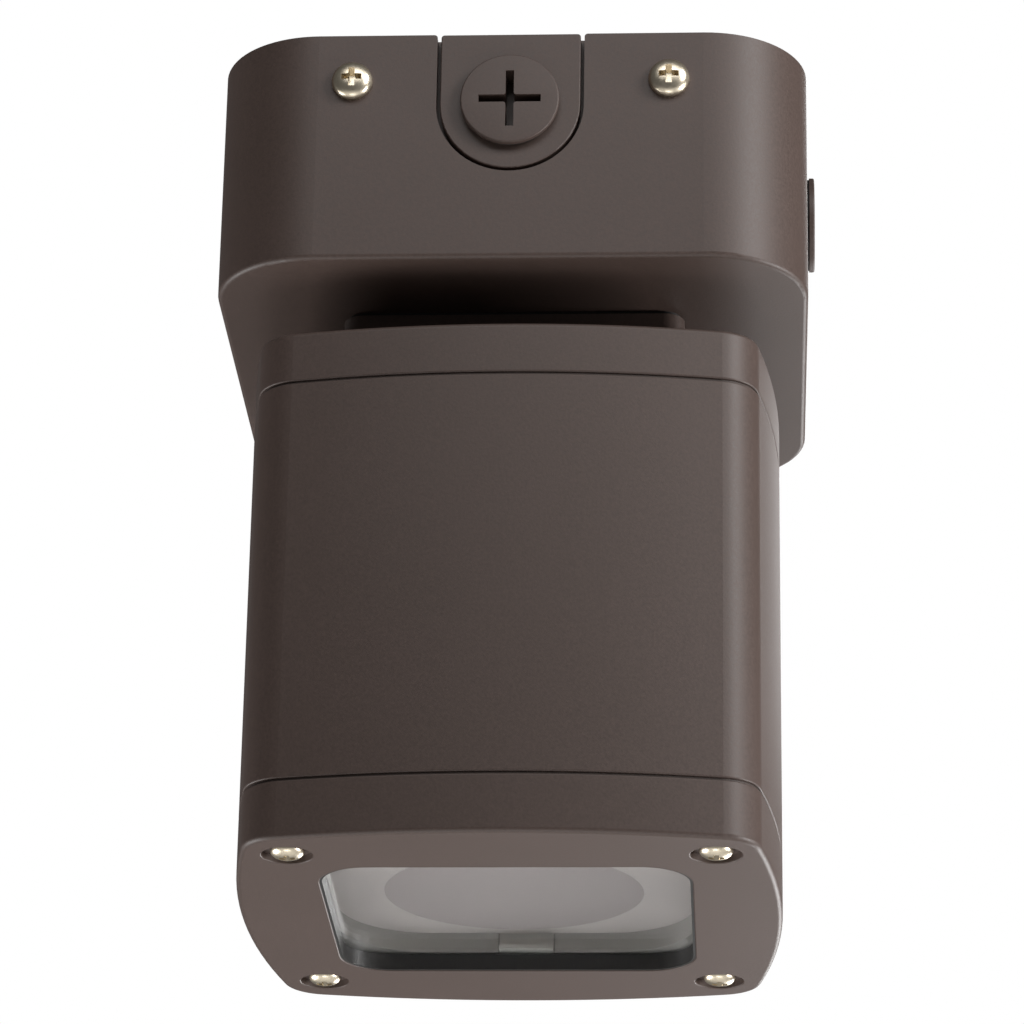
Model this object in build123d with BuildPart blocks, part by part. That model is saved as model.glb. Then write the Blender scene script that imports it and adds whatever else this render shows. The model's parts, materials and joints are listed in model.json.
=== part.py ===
"""LED canopy light: a canopy that hides the driver, a neck, and a square optical head.

The origin is the middle of the mounting face, which meets the ceiling at Z = 0. The light hangs
below it, so every level is negative. X is the width, Y the depth, and the front is at -Y.
"""

import os

from build123d import *

os.makedirs("parts", exist_ok=True)

# Clearances and allowances shared by all pieces.
overrun = 1.0  # how far a cut runs past the face that it opens
thread_gap = 0.05  # radial gap between a screw or plug and its hole
seat_gap = 0.3  # gap round a piece that drops into a pocket
hole_floor = 1.5  # metal left under a blind screw hole

# Canopy housing.
canopy_width = 143.0
canopy_depth = 135.0
canopy_height = 60.0
canopy_corner = 25.0
canopy_wall = 3.0
canopy_floor = 3.0
canopy_edge = 1.2  # rounding of the lower rim
mouth_round = 0.8  # rounding where a notch in the wall meets the ceiling

# Mounting plate, with a U-shaped tab and a conduit hub let into each wall of the canopy.
plate_thickness = 4.0
plate_gap = 0.5  # between the plate and the inside of the walls
tab_width = 33.8
tab_groove = 0.9  # open line between a tab and its notch
tab_drop = 19.2  # from the ceiling to the centre of the tab's round end
tab_lap = 4.0  # how far the flange behind a tab overlaps the wall
tab_flange = 3.0
coat_edge = 0.3  # rounding that the coat leaves on an outer edge
hub_drop = 18.6  # from the ceiling to the centre of the conduit thread
hub_bore = 20.6
hub_length = 12.0
wire_entry_bore = 22.2
box_screw_spacing = 88.9
box_slot_length = 12.0
box_slot_width = 5.0
lug_width = 12.0
lug_depth = 9.0
lug_height = 18.0

# Ceiling gasket, in a groove in the top of the plate.
gasket_inset = 8.5
gasket_width = 6.0
gasket_thickness = 2.0

# Closure plugs. The plug unscrews by its whole thread length.
plug_head = 23.8
plug_head_thickness = 1.3
plug_edge = 0.4
plug_thread_length = 9.0
plug_slot_length = 15.0
plug_slot_width = 2.0
plug_slot_depth = 3.5
plug_slot_centre = 3.4  # side of the square, set on its corner, where the slots cross
seal_diameter = 23.0
seal_thickness = 1.0

# Screws: head diameter, head height and shank diameter of each size used.
m5_head, m5_height, m5_shank = 10.0, 3.3, 5.0
m4_head, m4_height, m4_shank = 8.0, 2.6, 4.0
m3_head, m3_height, m3_shank = 5.5, 2.0, 3.0
clearance_hole_gap = 0.25  # radial gap where a screw passes freely
recess_arm_share = 0.56  # length of the cross recess, of the head's diameter
recess_slot_share = 0.13
recess_depth_share = 0.6  # of the head's height
dome_share = 0.55
tip_share = 0.15  # chamfer at the end of a shank, of its diameter

cover_screw_side = 38.2  # from the middle of the wall
cover_screw_drop = 12.7
cover_screw_length = 12.0

# Neck between the canopy and the head.
neck_width = 83.0
neck_depth = 76.0
neck_height = 14.3
neck_corner = 5.0
neck_wall = 4.0
neck_seal = 1.0  # thickness of each neck gasket
neck_seal_inset = 1.0
neck_bolt_inset = 8.5  # from the neck's sides to the bolts
neck_boss = 11.0
neck_bolt_length = 28.0

# Head: bowed square outline, in three castings with a seam between each.
head_width = 129.0
head_depth = 132.0
head_bow = 6.5  # how far the corners fall back from the middle of each side
head_corner = 11.0
head_wall = 4.0
head_edge = 1.2  # rounding at the top and bottom of the head
seam_edge = 0.4  # rounding at each side of a seam
seam = 0.6  # width of the open line at a seam, and the gasket's thickness
seam_depth = 0.6
seam_seal_width = 2.4
cap_height = 12.7
cap_top_thickness = 5.0
body_height = 98.8
bezel_height = 14.0
corner_screw_side = 15.4  # from the head's sides to the screws in its corners
corner_screw_end = 17.0
corner_boss = 11.0
web_thickness = 3.0
cap_counterbore = 9.0
cap_counterbore_depth = 3.2
cap_screw_length = 18.0
corner_hole_depth = 12.0

# Bezel and window.
window_side = 21.0  # from the head's side to the window
window_end = 25.7
window_corner = 12.0
bezel_lip = 3.7
bezel_counterbore = 12.0
bezel_counterbore_depth = 1.8
bezel_boss_wall = 2.0
bezel_screw_length = 22.0
glass_lap = 4.0  # how far the glass reaches past the window
glass_thickness = 2.5
lens_seal = 0.5
lens_seal_skirt = 0.6  # thickness of the gasket's skirt, which lines the window
rim_wall = 3.0
frame_height = 5.0
frame_corner = 22.0
reflector_thickness = 1.0

# Clips that hold the glass down.
clip_offset = 1.5  # from the middle of the window, towards the right
clip_width = 13.3
clip_metal = 1.0
clip_foot = 4.0
clip_setback = 0.7
clip_screw_out = 11.8  # from the window's edge to the clip's screw
clip_pad = 9.0
clip_screw_length = 6.0

# Light engine: rounded optic, LED board, thermal pad and heat sink.
optic_width = 61.0
optic_depth = 57.0
optic_setback = 8.0  # from the window's middle, towards the rear
optic_edge = 0.4
optic_proud = 0.5  # how far the optic stands out of the reflector plate
optic_flange = 3.0  # how far the flange reaches past the oval
optic_flange_thickness = 3.0
emitter_columns = 5
emitter_rows = 3
emitter_pitch = 9.0
emitter_side = 3.5
emitter_height = 0.8
emitter_room = 0.9
board_side_room = 7.0  # bare board beyond the optic
board_end_room = 1.0
board_corner = 3.0
board_thickness = 1.6
board_screw_inset = 4.0
board_screw_length = 7.0
pad_thickness = 0.5
sink_side_gap = 7.5  # from the inside of the head's walls to the heat sink
sink_end_gap = 11.5
sink_base = 8.0
sink_corner_gap = 0.7
fin_height = 26.0
fin_count = 11
fin_thickness = 2.0
fin_side_room = 9.0  # bare edge of the base beside the fins
fin_front_room = 18.0
fin_rear_room = 7.0
lug_reach = 7.0  # how far a lug of the head reaches over the heat sink
sink_lug_width = 11.0
sink_lug_height = 10.0
sink_lug_side = 22.0
sink_screw_inset = 3.5
sink_screw_length = 14.0

# Driver and terminal block, on the floor of the canopy.
driver_end_room = 23.0
driver_depth = 44.0
driver_height = 25.0
driver_lift = 5.0
driver_rear_room = 11.0
driver_edge = 1.5
ear_length = 12.0
ear_depth = 16.0
ear_thickness = 2.0
ear_hole_inset = 5.0
driver_screw_length = 8.0
standoff = 9.0
block_length = 30.0
block_depth = 18.0
block_height = 16.0
block_side_room = 17.0
block_edge = 1.0
block_pocket = 1.2  # from the block's top down to its clamps
clamp_thickness = 1.2
pole_pitch = 7.0
clamp_diameter = 4.5
clamp_slot_length = 2.6
clamp_slot_width = 0.6
ground_side = 40.0
ground_boss = 9.0
ground_boss_height = 3.0
ground_lug = 8.6
ground_lug_thickness = 1.0
ground_screw_length = 5.0

# Leads inside the light.
supply_lead = 2.4
board_lead = 1.8
lead_level = 13.0  # height of the leads above the canopy's floor
lead_first = 8.0
lead_pitch = 6.0
lead_out = 5.0
lead_lane = 2.5
lead_turn = 18.0  # from the block's rear to where the first lead turns towards it
lead_stagger = 4.0
lead_straight = 6.0  # straight run into the block
lead_bend = 4.0
bond_start = 18.0  # straight run of the ground bond out of the block
bond_end = 17.2  # from the ground screw to the bond's last bend
wire_hole = 16.0
wire_hole_gap = 6.0  # from the driver's front to the wire hole
wire_spread = 2.0
grommet_body = 12.0
grommet_flange = 2.0
grommet_lip = 1.5
connector_width = 10.0
connector_depth = 7.0
connector_height = 2.4
channel_width = 12.0  # slot in the heat sink that the leads pass
channel_back = 3.0  # from the slot's end to the board
channel_out = 7.0  # from the board's edge to the leads in the slot
channel_bend = 8.0
channel_start = 25.0  # from the cap's lower face to where the leads turn aside
channel_run = 30.0

# Levels, from the ceiling down.
floor_top = -canopy_height + canopy_floor
canopy_bottom = -canopy_height
neck_top = canopy_bottom - neck_seal
neck_bottom = neck_top - neck_height
cap_top = neck_bottom - neck_seal
cap_bottom = cap_top - cap_height
body_top = cap_bottom - seam
body_bottom = body_top - body_height
bezel_top = body_bottom - seam
bezel_bottom = bezel_top - bezel_height
lip_top = bezel_bottom + bezel_lip
glass_bottom = lip_top + lens_seal
glass_top = glass_bottom + glass_thickness
frame_top = glass_top + frame_height
reflector_top = frame_top + reflector_thickness
board_bottom = reflector_top + optic_flange_thickness
board_top = board_bottom + board_thickness
pad_top = board_top + pad_thickness
sink_top = pad_top + sink_base

# Places that several pieces share.
sides = {
    "front": Plane(origin=(0, -canopy_depth / 2, 0), x_dir=(1, 0, 0), z_dir=(0, -1, 0)),
    "right": Plane(origin=(canopy_width / 2, 0, 0), x_dir=(0, 1, 0), z_dir=(1, 0, 0)),
    "rear": Plane(origin=(0, canopy_depth / 2, 0), x_dir=(-1, 0, 0), z_dir=(0, 1, 0)),
    "left": Plane(origin=(-canopy_width / 2, 0, 0), x_dir=(0, -1, 0), z_dir=(-1, 0, 0)),
}
cover_sides = [sides["front"], sides["rear"]]
lug_start = canopy_wall + plate_gap
plate_width = canopy_width - 2 * lug_start
plate_depth = canopy_depth - 2 * lug_start
neck_bolt_x = neck_width / 2 - neck_bolt_inset
neck_bolt_y = neck_depth / 2 - neck_bolt_inset
corner_x = head_width / 2 - corner_screw_side
corner_y = head_depth / 2 - corner_screw_end
window_width = head_width - 2 * window_side
window_depth = head_depth - 2 * window_end
glass_width = window_width + 2 * glass_lap
glass_depth = window_depth + 2 * glass_lap
glass_corner = window_corner + glass_lap
clip_screw_y = window_depth / 2 + clip_screw_out
driver_length = canopy_width - 2 * canopy_wall - 2 * driver_end_room
driver_back = canopy_depth / 2 - hub_length - driver_rear_room
driver_front = driver_back - driver_depth
driver_y = (driver_front + driver_back) / 2
ear_x = driver_length / 2 + ear_length - ear_hole_inset
wire_y = driver_front - wire_hole_gap - wire_hole / 2
block_x = -canopy_width / 2 + canopy_wall + block_side_room + block_length / 2
block_y = -(canopy_depth / 2 - canopy_wall + neck_bolt_y + m5_head / 2) / 2
ground_at = (ground_side, block_y)
sink_width = head_width - 2 * head_wall - 2 * sink_side_gap
sink_depth = head_depth - 2 * head_wall - 2 * sink_end_gap
sink_screw_x = sink_width / 2 - sink_screw_inset
board_width = optic_width + 2 * optic_flange + 2 * board_side_room
board_depth = 2 * (optic_setback + optic_depth / 2 + optic_flange + board_end_room)
board_screw_x = board_width / 2 - board_screw_inset
board_screw_y = board_depth / 2 - board_screw_inset
wires_at = [(0, wire_y + wire_spread), (0, wire_y - wire_spread)]
emitters_at = [
    (
        emitter_pitch * (column - (emitter_columns - 1) / 2),
        optic_setback + emitter_pitch * (row - (emitter_rows - 1) / 2),
    )
    for column in range(emitter_columns)
    for row in range(emitter_rows)
]


def mirrored(x, y):
    """The four places that lie x and y from the middle."""
    return [(-x, -y), (-x, y), (x, -y), (x, y)]


def at_level(places, level):
    """Spots at a level, facing up."""
    return [Location((x, y, level)) for x, y in places]


def hanging_at(places, level):
    """Spots at a level, facing down."""
    return [Location((x, y, level), (180, 0, 0)) for x, y in places]


def pan_screw(head, height, shank, length):
    """A pan-head screw with a cross recess. Its seat is at the origin and its head faces +Z."""
    arm = head * recess_arm_share
    slot = head * recess_slot_share
    with BuildPart() as screw:
        with BuildSketch():
            Circle(head / 2)
        extrude(amount=height)
        fillet(screw.faces().sort_by(Axis.Z)[-1].edges(), height * dome_share)
        with BuildSketch():
            Circle(shank / 2)
        extrude(amount=-length)
        chamfer(screw.faces().sort_by(Axis.Z)[0].edges(), shank * tip_share)
        with BuildSketch(Plane.XY.offset(height)):
            Rectangle(arm, slot)
            Rectangle(slot, arm)
        extrude(amount=-height * recess_depth_share, mode=Mode.SUBTRACT)
    return screw.part


def head_outline(inset):
    """The head's bowed square outline, drawn in by inset."""
    x_end = head_width / 2 - head_bow
    y_end = head_depth / 2 - head_bow
    with BuildSketch() as outline:
        with BuildLine():
            ThreePointArc((-x_end, -y_end), (0, -head_depth / 2), (x_end, -y_end))
            ThreePointArc((x_end, -y_end), (head_width / 2, 0), (x_end, y_end))
            ThreePointArc((x_end, y_end), (0, head_depth / 2), (-x_end, y_end))
            ThreePointArc((-x_end, y_end), (-head_width / 2, 0), (-x_end, -y_end))
        make_face()
        if inset > 0:
            offset(amount=-inset, kind=Kind.INTERSECTION)
        fillet(outline.vertices(), head_corner - inset)
    return outline.sketch


def corner_bosses(boss):
    """Four round bosses at the corner screws, each tied to the head's corner by a web."""
    web = head_corner + corner_screw_side
    with BuildSketch() as bosses:
        for x, y in corners_at:
            turn = 45 if x * y > 0 else -45
            outwards = web / 2 if x > 0 else -web / 2
            with Locations((x, y)):
                Circle(boss / 2)
            with Locations(Location((x, y, 0), (0, 0, turn)) * Location((outwards, 0, 0))):
                Rectangle(web, web_thickness)
        add(head_outline(head_wall / 2), mode=Mode.INTERSECT)
    return bosses.sketch


def seam_gasket(level):
    """The gasket that fills a seam of the head, set back from the outside."""
    with BuildPart() as gasket:
        with BuildSketch(Plane.XY.offset(level)):
            add(head_outline(seam_depth))
            add(head_outline(seam_depth + seam_seal_width), mode=Mode.SUBTRACT)
        extrude(amount=seam)
    return gasket.part


def tab_outline(half_width):
    """A U that hangs from the ceiling line, drawn in the sketch that is open."""
    with Locations((0, -tab_drop / 2)):
        Rectangle(2 * half_width, tab_drop)
    with Locations((0, -tab_drop)):
        Circle(half_width)
    with Locations((0, half_width)):
        Rectangle(2 * half_width, 2 * half_width, mode=Mode.SUBTRACT)


def lead(diameter, bends, *route):
    """An insulated lead along a route of straight runs, rounded at each corner."""
    with BuildPart() as wire:
        with BuildLine() as path:
            FilletPolyline(*route, radius=bends)
        with BuildSketch(Plane(origin=path.line @ 0, z_dir=path.line % 0)):
            Circle(diameter / 2)
        sweep()
    return wire.part


neck_bolts_at = mirrored(neck_bolt_x, neck_bolt_y)
corners_at = mirrored(corner_x, corner_y)
sink_screws_at = mirrored(sink_screw_x, sink_lug_side)
board_screws_at = mirrored(board_screw_x, board_screw_y)

cover_screw = pan_screw(m5_head, m5_height, m5_shank, cover_screw_length)
neck_bolt = pan_screw(m5_head, m5_height, m5_shank, neck_bolt_length)
cap_screw = pan_screw(m4_head, m4_height, m4_shank, cap_screw_length)
bezel_screw = pan_screw(m4_head, m4_height, m4_shank, bezel_screw_length)
sink_screw = pan_screw(m4_head, m4_height, m4_shank, sink_screw_length)
driver_screw = pan_screw(m4_head, m4_height, m4_shank, driver_screw_length)
ground_screw_form = pan_screw(m4_head, m4_height, m4_shank, ground_screw_length)
board_screw = pan_screw(m3_head, m3_height, m3_shank, board_screw_length)
clip_screw = pan_screw(m3_head, m3_height, m3_shank, clip_screw_length)

# Mounting plate. Each tab lies flush with the canopy's wall, with a wider flange behind it.
with BuildPart() as mounting_plate:
    with BuildSketch():
        RectangleRounded(plate_width, plate_depth, canopy_corner - lug_start)
    extrude(amount=-plate_thickness)
    for side in sides.values():
        with BuildSketch(side) as tab:
            tab_outline(tab_width / 2)
            fillet(tab.vertices().group_by(Axis.Z)[-1], mouth_round)
        extrude(amount=-hub_length)
        tab_face = mounting_plate.faces().sort_by(Axis(side.origin, side.z_dir))[-1]
        fillet(tab_face.edges(), coat_edge)
        with BuildSketch(side.offset(-lug_start)):
            tab_outline(tab_width / 2 + tab_lap)
        extrude(amount=-tab_flange)
    for side in cover_sides:
        with BuildSketch(side.offset(-lug_start)):
            with Locations((-cover_screw_side, -lug_height / 2), (cover_screw_side, -lug_height / 2)):
                Rectangle(lug_width, lug_height)
        extrude(amount=-lug_depth)
        with BuildSketch(side):
            with Locations((-cover_screw_side, -cover_screw_drop), (cover_screw_side, -cover_screw_drop)):
                Circle(m5_shank / 2 + thread_gap)
        extrude(amount=-lug_start - lug_depth - overrun, mode=Mode.SUBTRACT)
    for side in sides.values():
        with BuildSketch(side.offset(overrun)):
            with Locations((0, -hub_drop)):
                Circle(hub_bore / 2)
        extrude(amount=-hub_length - 2 * overrun, mode=Mode.SUBTRACT)
    with BuildSketch():
        RectangleRounded(
            plate_width - 2 * gasket_inset,
            plate_depth - 2 * gasket_inset,
            canopy_corner - lug_start - gasket_inset,
        )
        RectangleRounded(
            plate_width - 2 * gasket_inset - 2 * gasket_width,
            plate_depth - 2 * gasket_inset - 2 * gasket_width,
            canopy_corner - lug_start - gasket_inset - gasket_width,
            mode=Mode.SUBTRACT,
        )
    extrude(amount=-gasket_thickness, mode=Mode.SUBTRACT)
    with BuildSketch(Plane.XY.offset(overrun)):
        Circle(wire_entry_bore / 2)
        with Locations((-box_screw_spacing / 2, 0), (box_screw_spacing / 2, 0)):
            SlotOverall(box_slot_length, box_slot_width)
    extrude(amount=-plate_thickness - 2 * overrun, mode=Mode.SUBTRACT)
mounting_plate.part.label = "mounting_plate"
export_step(mounting_plate.part, "parts/mounting_plate.step")

with BuildPart() as ceiling_gasket:
    with BuildSketch():
        RectangleRounded(
            plate_width - 2 * gasket_inset - 2 * thread_gap,
            plate_depth - 2 * gasket_inset - 2 * thread_gap,
            canopy_corner - lug_start - gasket_inset - thread_gap,
        )
        RectangleRounded(
            plate_width - 2 * gasket_inset - 2 * gasket_width + 2 * thread_gap,
            plate_depth - 2 * gasket_inset - 2 * gasket_width + 2 * thread_gap,
            canopy_corner - lug_start - gasket_inset - gasket_width + thread_gap,
            mode=Mode.SUBTRACT,
        )
    extrude(amount=-gasket_thickness)
ceiling_gasket.part.label = "ceiling_gasket"
export_step(ceiling_gasket.part, "parts/ceiling_gasket.step")

# Driver housing, open to the ceiling, with a notch for each tab.
with BuildPart() as driver_housing:
    with BuildSketch():
        RectangleRounded(canopy_width, canopy_depth, canopy_corner)
    extrude(amount=-canopy_height)
    fillet(driver_housing.faces().sort_by(Axis.Z)[0].edges(), canopy_edge)
    with BuildSketch():
        RectangleRounded(
            canopy_width - 2 * canopy_wall, canopy_depth - 2 * canopy_wall, canopy_corner - canopy_wall
        )
    extrude(amount=floor_top, mode=Mode.SUBTRACT)
    for side in sides.values():
        with BuildSketch(side.offset(overrun)):
            tab_outline(tab_width / 2 + tab_groove)
        extrude(amount=-canopy_wall - 2 * overrun, mode=Mode.SUBTRACT)
    short_edges = driver_housing.edges().filter_by(lambda edge: edge.length < 2 * canopy_wall)
    fillet(short_edges.group_by(Axis.Z)[-1], mouth_round)
    for side in cover_sides:
        with BuildSketch(side.offset(overrun)):
            with Locations((-cover_screw_side, -cover_screw_drop), (cover_screw_side, -cover_screw_drop)):
                Circle(m5_shank / 2 + clearance_hole_gap)
        extrude(amount=-canopy_wall - 2 * overrun, mode=Mode.SUBTRACT)
    with BuildSketch(Plane.XY.offset(floor_top)):
        with Locations((-ear_x, driver_y), (ear_x, driver_y)):
            Circle(standoff / 2)
    extrude(amount=driver_lift)
    with BuildSketch(Plane.XY.offset(floor_top)):
        with Locations(ground_at):
            Circle(ground_boss / 2)
    extrude(amount=ground_boss_height)
    with BuildSketch(Plane.XY.offset(floor_top + driver_lift)):
        with Locations((-ear_x, driver_y), (ear_x, driver_y)):
            Circle(m4_shank / 2 + thread_gap)
    extrude(amount=-driver_lift - canopy_floor + hole_floor, mode=Mode.SUBTRACT)
    with BuildSketch(Plane.XY.offset(floor_top + ground_boss_height)):
        with Locations(ground_at):
            Circle(m4_shank / 2 + thread_gap)
    extrude(amount=-ground_boss_height - canopy_floor + hole_floor, mode=Mode.SUBTRACT)
    with BuildSketch(Plane.XY.offset(floor_top + overrun)):
        with Locations((0, wire_y)):
            Circle(wire_hole / 2)
        with Locations(*neck_bolts_at):
            Circle(m5_shank / 2 + clearance_hole_gap)
    extrude(amount=-canopy_floor - 2 * overrun, mode=Mode.SUBTRACT)
driver_housing.part.label = "driver_housing"
export_step(driver_housing.part, "parts/driver_housing.step")

with BuildPart() as cover_screws:
    spots = [
        side.location * Location((x, -cover_screw_drop, 0))
        for side in cover_sides
        for x in (-cover_screw_side, cover_screw_side)
    ]
    with Locations(*spots):
        add(cover_screw)
cover_screws.part.label = "cover_screws"
export_step(cover_screws.part, "parts/cover_screws.step")

# Closure plugs and their seal rings, one pair in each hub.
plug_face = seal_thickness + plug_head_thickness
for name, side in sides.items():
    with BuildPart() as plug_seal:
        with BuildSketch(side):
            with Locations((0, -hub_drop)):
                Circle(seal_diameter / 2)
                Circle(hub_bore / 2, mode=Mode.SUBTRACT)
        extrude(amount=seal_thickness)
    plug_seal.part.label = name + "_plug_seal"
    export_step(plug_seal.part, "parts/" + name + "_plug_seal.step")

    with BuildPart() as closure_plug:
        with BuildSketch(side.offset(seal_thickness)):
            with Locations((0, -hub_drop)):
                Circle(plug_head / 2)
        extrude(amount=plug_head_thickness)
        outer_face = closure_plug.faces().sort_by(Axis(side.origin, side.z_dir))[-1]
        fillet(outer_face.edges(), plug_edge)
        with BuildSketch(side.offset(seal_thickness)):
            with Locations((0, -hub_drop)):
                Circle(hub_bore / 2 - thread_gap)
        extrude(amount=-seal_thickness - plug_thread_length)
        with BuildSketch(side.offset(plug_face)):
            with Locations((0, -hub_drop)):
                Rectangle(plug_slot_length, plug_slot_width)
                Rectangle(plug_slot_width, plug_slot_length)
                Rectangle(plug_slot_centre, plug_slot_centre, rotation=45)
        extrude(amount=-plug_slot_depth, mode=Mode.SUBTRACT)
    closure_plug.part.label = name + "_closure_plug"
    export_step(closure_plug.part, "parts/" + name + "_closure_plug.step")

# Driver on its two standoffs, with a fixing ear at each end.
driver_base = floor_top + driver_lift
with BuildPart() as driver:
    with BuildSketch(Plane.XY.offset(driver_base)):
        with Locations((0, driver_y)):
            Rectangle(driver_length, driver_depth)
    extrude(amount=driver_height)
    fillet(driver.edges().filter_by(Axis.Z), driver_edge)
    fillet(driver.faces().sort_by(Axis.Z)[-1].edges(), driver_edge)
    with BuildSketch(Plane.XY.offset(driver_base)):
        with Locations((0, driver_y)):
            Rectangle(driver_length + 2 * ear_length, ear_depth)
    extrude(amount=ear_thickness)
    with BuildSketch(Plane.XY.offset(driver_base - overrun)):
        with Locations((-ear_x, driver_y), (ear_x, driver_y)):
            Circle(m4_shank / 2 + clearance_hole_gap)
    extrude(amount=ear_thickness + 2 * overrun, mode=Mode.SUBTRACT)
driver.part.label = "driver"
export_step(driver.part, "parts/driver.step")

with BuildPart() as driver_screws:
    with Locations(*at_level([(-ear_x, driver_y), (ear_x, driver_y)], driver_base + ear_thickness)):
        add(driver_screw)
driver_screws.part.label = "driver_screws"
export_step(driver_screws.part, "parts/driver_screws.step")

# Terminal block with three poles. Its clamps sit in round pockets.
block_top = floor_top + block_height
poles_x = [block_x + pole_pitch * step for step in (1, 0, -1)]
with BuildPart() as terminal_block:
    with BuildSketch(Plane.XY.offset(floor_top)):
        with Locations((block_x, block_y)):
            Rectangle(block_length, block_depth)
    extrude(amount=block_height)
    chamfer(terminal_block.faces().sort_by(Axis.Z)[-1].edges(), block_edge)
    with BuildSketch(Plane.XY.offset(block_top)):
        with Locations(*[(x, block_y) for x in poles_x]):
            Circle(clamp_diameter / 2 + thread_gap)
    extrude(amount=-block_pocket - clamp_thickness, mode=Mode.SUBTRACT)
terminal_block.part.label = "terminal_block"
export_step(terminal_block.part, "parts/terminal_block.step")

with BuildPart() as terminal_clamps:
    with BuildSketch(Plane.XY.offset(block_top - block_pocket)):
        with Locations(*[(x, block_y) for x in poles_x]):
            Circle(clamp_diameter / 2)
            Rectangle(clamp_slot_length, clamp_slot_width, mode=Mode.SUBTRACT)
    extrude(amount=-clamp_thickness)
terminal_clamps.part.label = "terminal_clamps"
export_step(terminal_clamps.part, "parts/terminal_clamps.step")

# Supply leads from the driver to the block, each in its own lane beside the driver.
lead_z = floor_top + lead_level
pole_z = floor_top + block_height / 2
block_rear = block_y + block_depth / 2
for step, name in enumerate(("ground_lead", "neutral_lead", "line_lead")):
    start_y = driver_front + lead_first + step * lead_pitch
    lane_x = -driver_length / 2 - lead_out - step * lead_lane
    turn_y = block_rear + lead_turn - step * lead_stagger
    supply = lead(
        supply_lead,
        lead_bend,
        (-driver_length / 2, start_y, lead_z),
        (lane_x, start_y, lead_z),
        (lane_x, turn_y, lead_z),
        (poles_x[step], block_rear + lead_straight, pole_z),
        (poles_x[step], block_rear, pole_z),
    )
    supply.label = name
    export_step(supply, "parts/" + name + ".step")

# Ground bond from the block to a ring lug on the canopy's ground boss.
ground_z = floor_top + ground_boss_height
with BuildPart() as ground_bond:
    with BuildSketch(Plane.XY.offset(ground_z)):
        with Locations(ground_at):
            Circle(ground_lug / 2)
    extrude(amount=ground_lug_thickness)
    add(
        lead(
            supply_lead,
            lead_bend,
            (block_x + block_length / 2, block_y, pole_z),
            (block_x + block_length / 2 + bond_start, block_y, pole_z),
            (ground_side - bond_end, block_y, ground_z + supply_lead / 2),
            (ground_side - m4_head / 2 - clearance_hole_gap, block_y, ground_z + supply_lead / 2),
        )
    )
    with BuildSketch(Plane.XY.offset(ground_z - overrun)):
        with Locations(ground_at):
            Circle(m4_shank / 2 + clearance_hole_gap)
    extrude(amount=ground_lug_thickness + 2 * overrun, mode=Mode.SUBTRACT)
ground_bond.part.label = "ground_bond"
export_step(ground_bond.part, "parts/ground_bond.step")

with BuildPart() as ground_screw:
    with Locations(*at_level([ground_at], ground_z + ground_lug_thickness)):
        add(ground_screw_form)
ground_screw.part.label = "ground_screw"
export_step(ground_screw.part, "parts/ground_screw.step")

# Neck, a hollow spacer with a boss at each bolt.
neck_pocket_x = neck_width - 2 * neck_wall
neck_pocket_y = neck_depth - 2 * neck_wall
with BuildPart() as neck:
    with BuildSketch(Plane.XY.offset(neck_bottom)):
        RectangleRounded(neck_width, neck_depth, neck_corner)
        Rectangle(neck_pocket_x, neck_pocket_y, mode=Mode.SUBTRACT)
        with Locations(*neck_bolts_at):
            Rectangle(neck_boss, neck_boss)
            Circle(m5_shank / 2 + clearance_hole_gap, mode=Mode.SUBTRACT)
    extrude(amount=neck_height)
neck.part.label = "neck"
export_step(neck.part, "parts/neck.step")

with BuildPart() as neck_gaskets:
    for level in (neck_top, cap_top):
        with BuildSketch(Plane.XY.offset(level)):
            RectangleRounded(
                neck_width - 2 * neck_seal_inset,
                neck_depth - 2 * neck_seal_inset,
                neck_corner - neck_seal_inset,
            )
            Rectangle(neck_pocket_x, neck_pocket_y, mode=Mode.SUBTRACT)
            with Locations(*neck_bolts_at):
                Rectangle(neck_boss, neck_boss)
                Circle(m5_shank / 2 + clearance_hole_gap, mode=Mode.SUBTRACT)
        extrude(amount=neck_seal)
neck_gaskets.part.label = "neck_gaskets"
export_step(neck_gaskets.part, "parts/neck_gaskets.step")

with BuildPart() as neck_bolts:
    with Locations(*at_level(neck_bolts_at, floor_top)):
        add(neck_bolt)
neck_bolts.part.label = "neck_bolts"
export_step(neck_bolts.part, "parts/neck_bolts.step")

# Head top cap, hollow from below, with bosses for the neck bolts and for its own screws.
cap_ceiling = cap_top - cap_top_thickness
with BuildPart() as head_top_cap:
    with BuildSketch(Plane.XY.offset(cap_top)):
        add(head_outline(0))
    extrude(amount=-cap_height)
    fillet(head_top_cap.faces().sort_by(Axis.Z)[-1].edges(), head_edge)
    fillet(head_top_cap.faces().sort_by(Axis.Z)[0].edges(), seam_edge)
    with BuildSketch(Plane.XY.offset(cap_ceiling)):
        add(head_outline(head_wall))
    extrude(amount=-cap_height, mode=Mode.SUBTRACT)
    with BuildSketch(Plane.XY.offset(cap_ceiling)):
        add(corner_bosses(corner_boss))
    extrude(amount=cap_bottom - cap_ceiling)
    with BuildSketch(Plane.XY.offset(cap_ceiling)):
        with Locations(*neck_bolts_at):
            Circle(neck_boss / 2)
    extrude(amount=cap_bottom - cap_ceiling)
    with BuildSketch(Plane.XY.offset(cap_top + overrun)):
        with Locations(*neck_bolts_at):
            Circle(m5_shank / 2 + thread_gap)
    extrude(amount=cap_bottom + hole_floor - cap_top - overrun, mode=Mode.SUBTRACT)
    with BuildSketch(Plane.XY.offset(cap_top + overrun)):
        with Locations(*corners_at):
            Circle(cap_counterbore / 2)
    extrude(amount=-cap_counterbore_depth - overrun, mode=Mode.SUBTRACT)
    with BuildSketch(Plane.XY.offset(cap_top)):
        with Locations(*corners_at):
            Circle(m4_shank / 2 + clearance_hole_gap)
        with Locations((0, wire_y)):
            Circle(grommet_body / 2)
    extrude(amount=-cap_height - overrun, mode=Mode.SUBTRACT)
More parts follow.
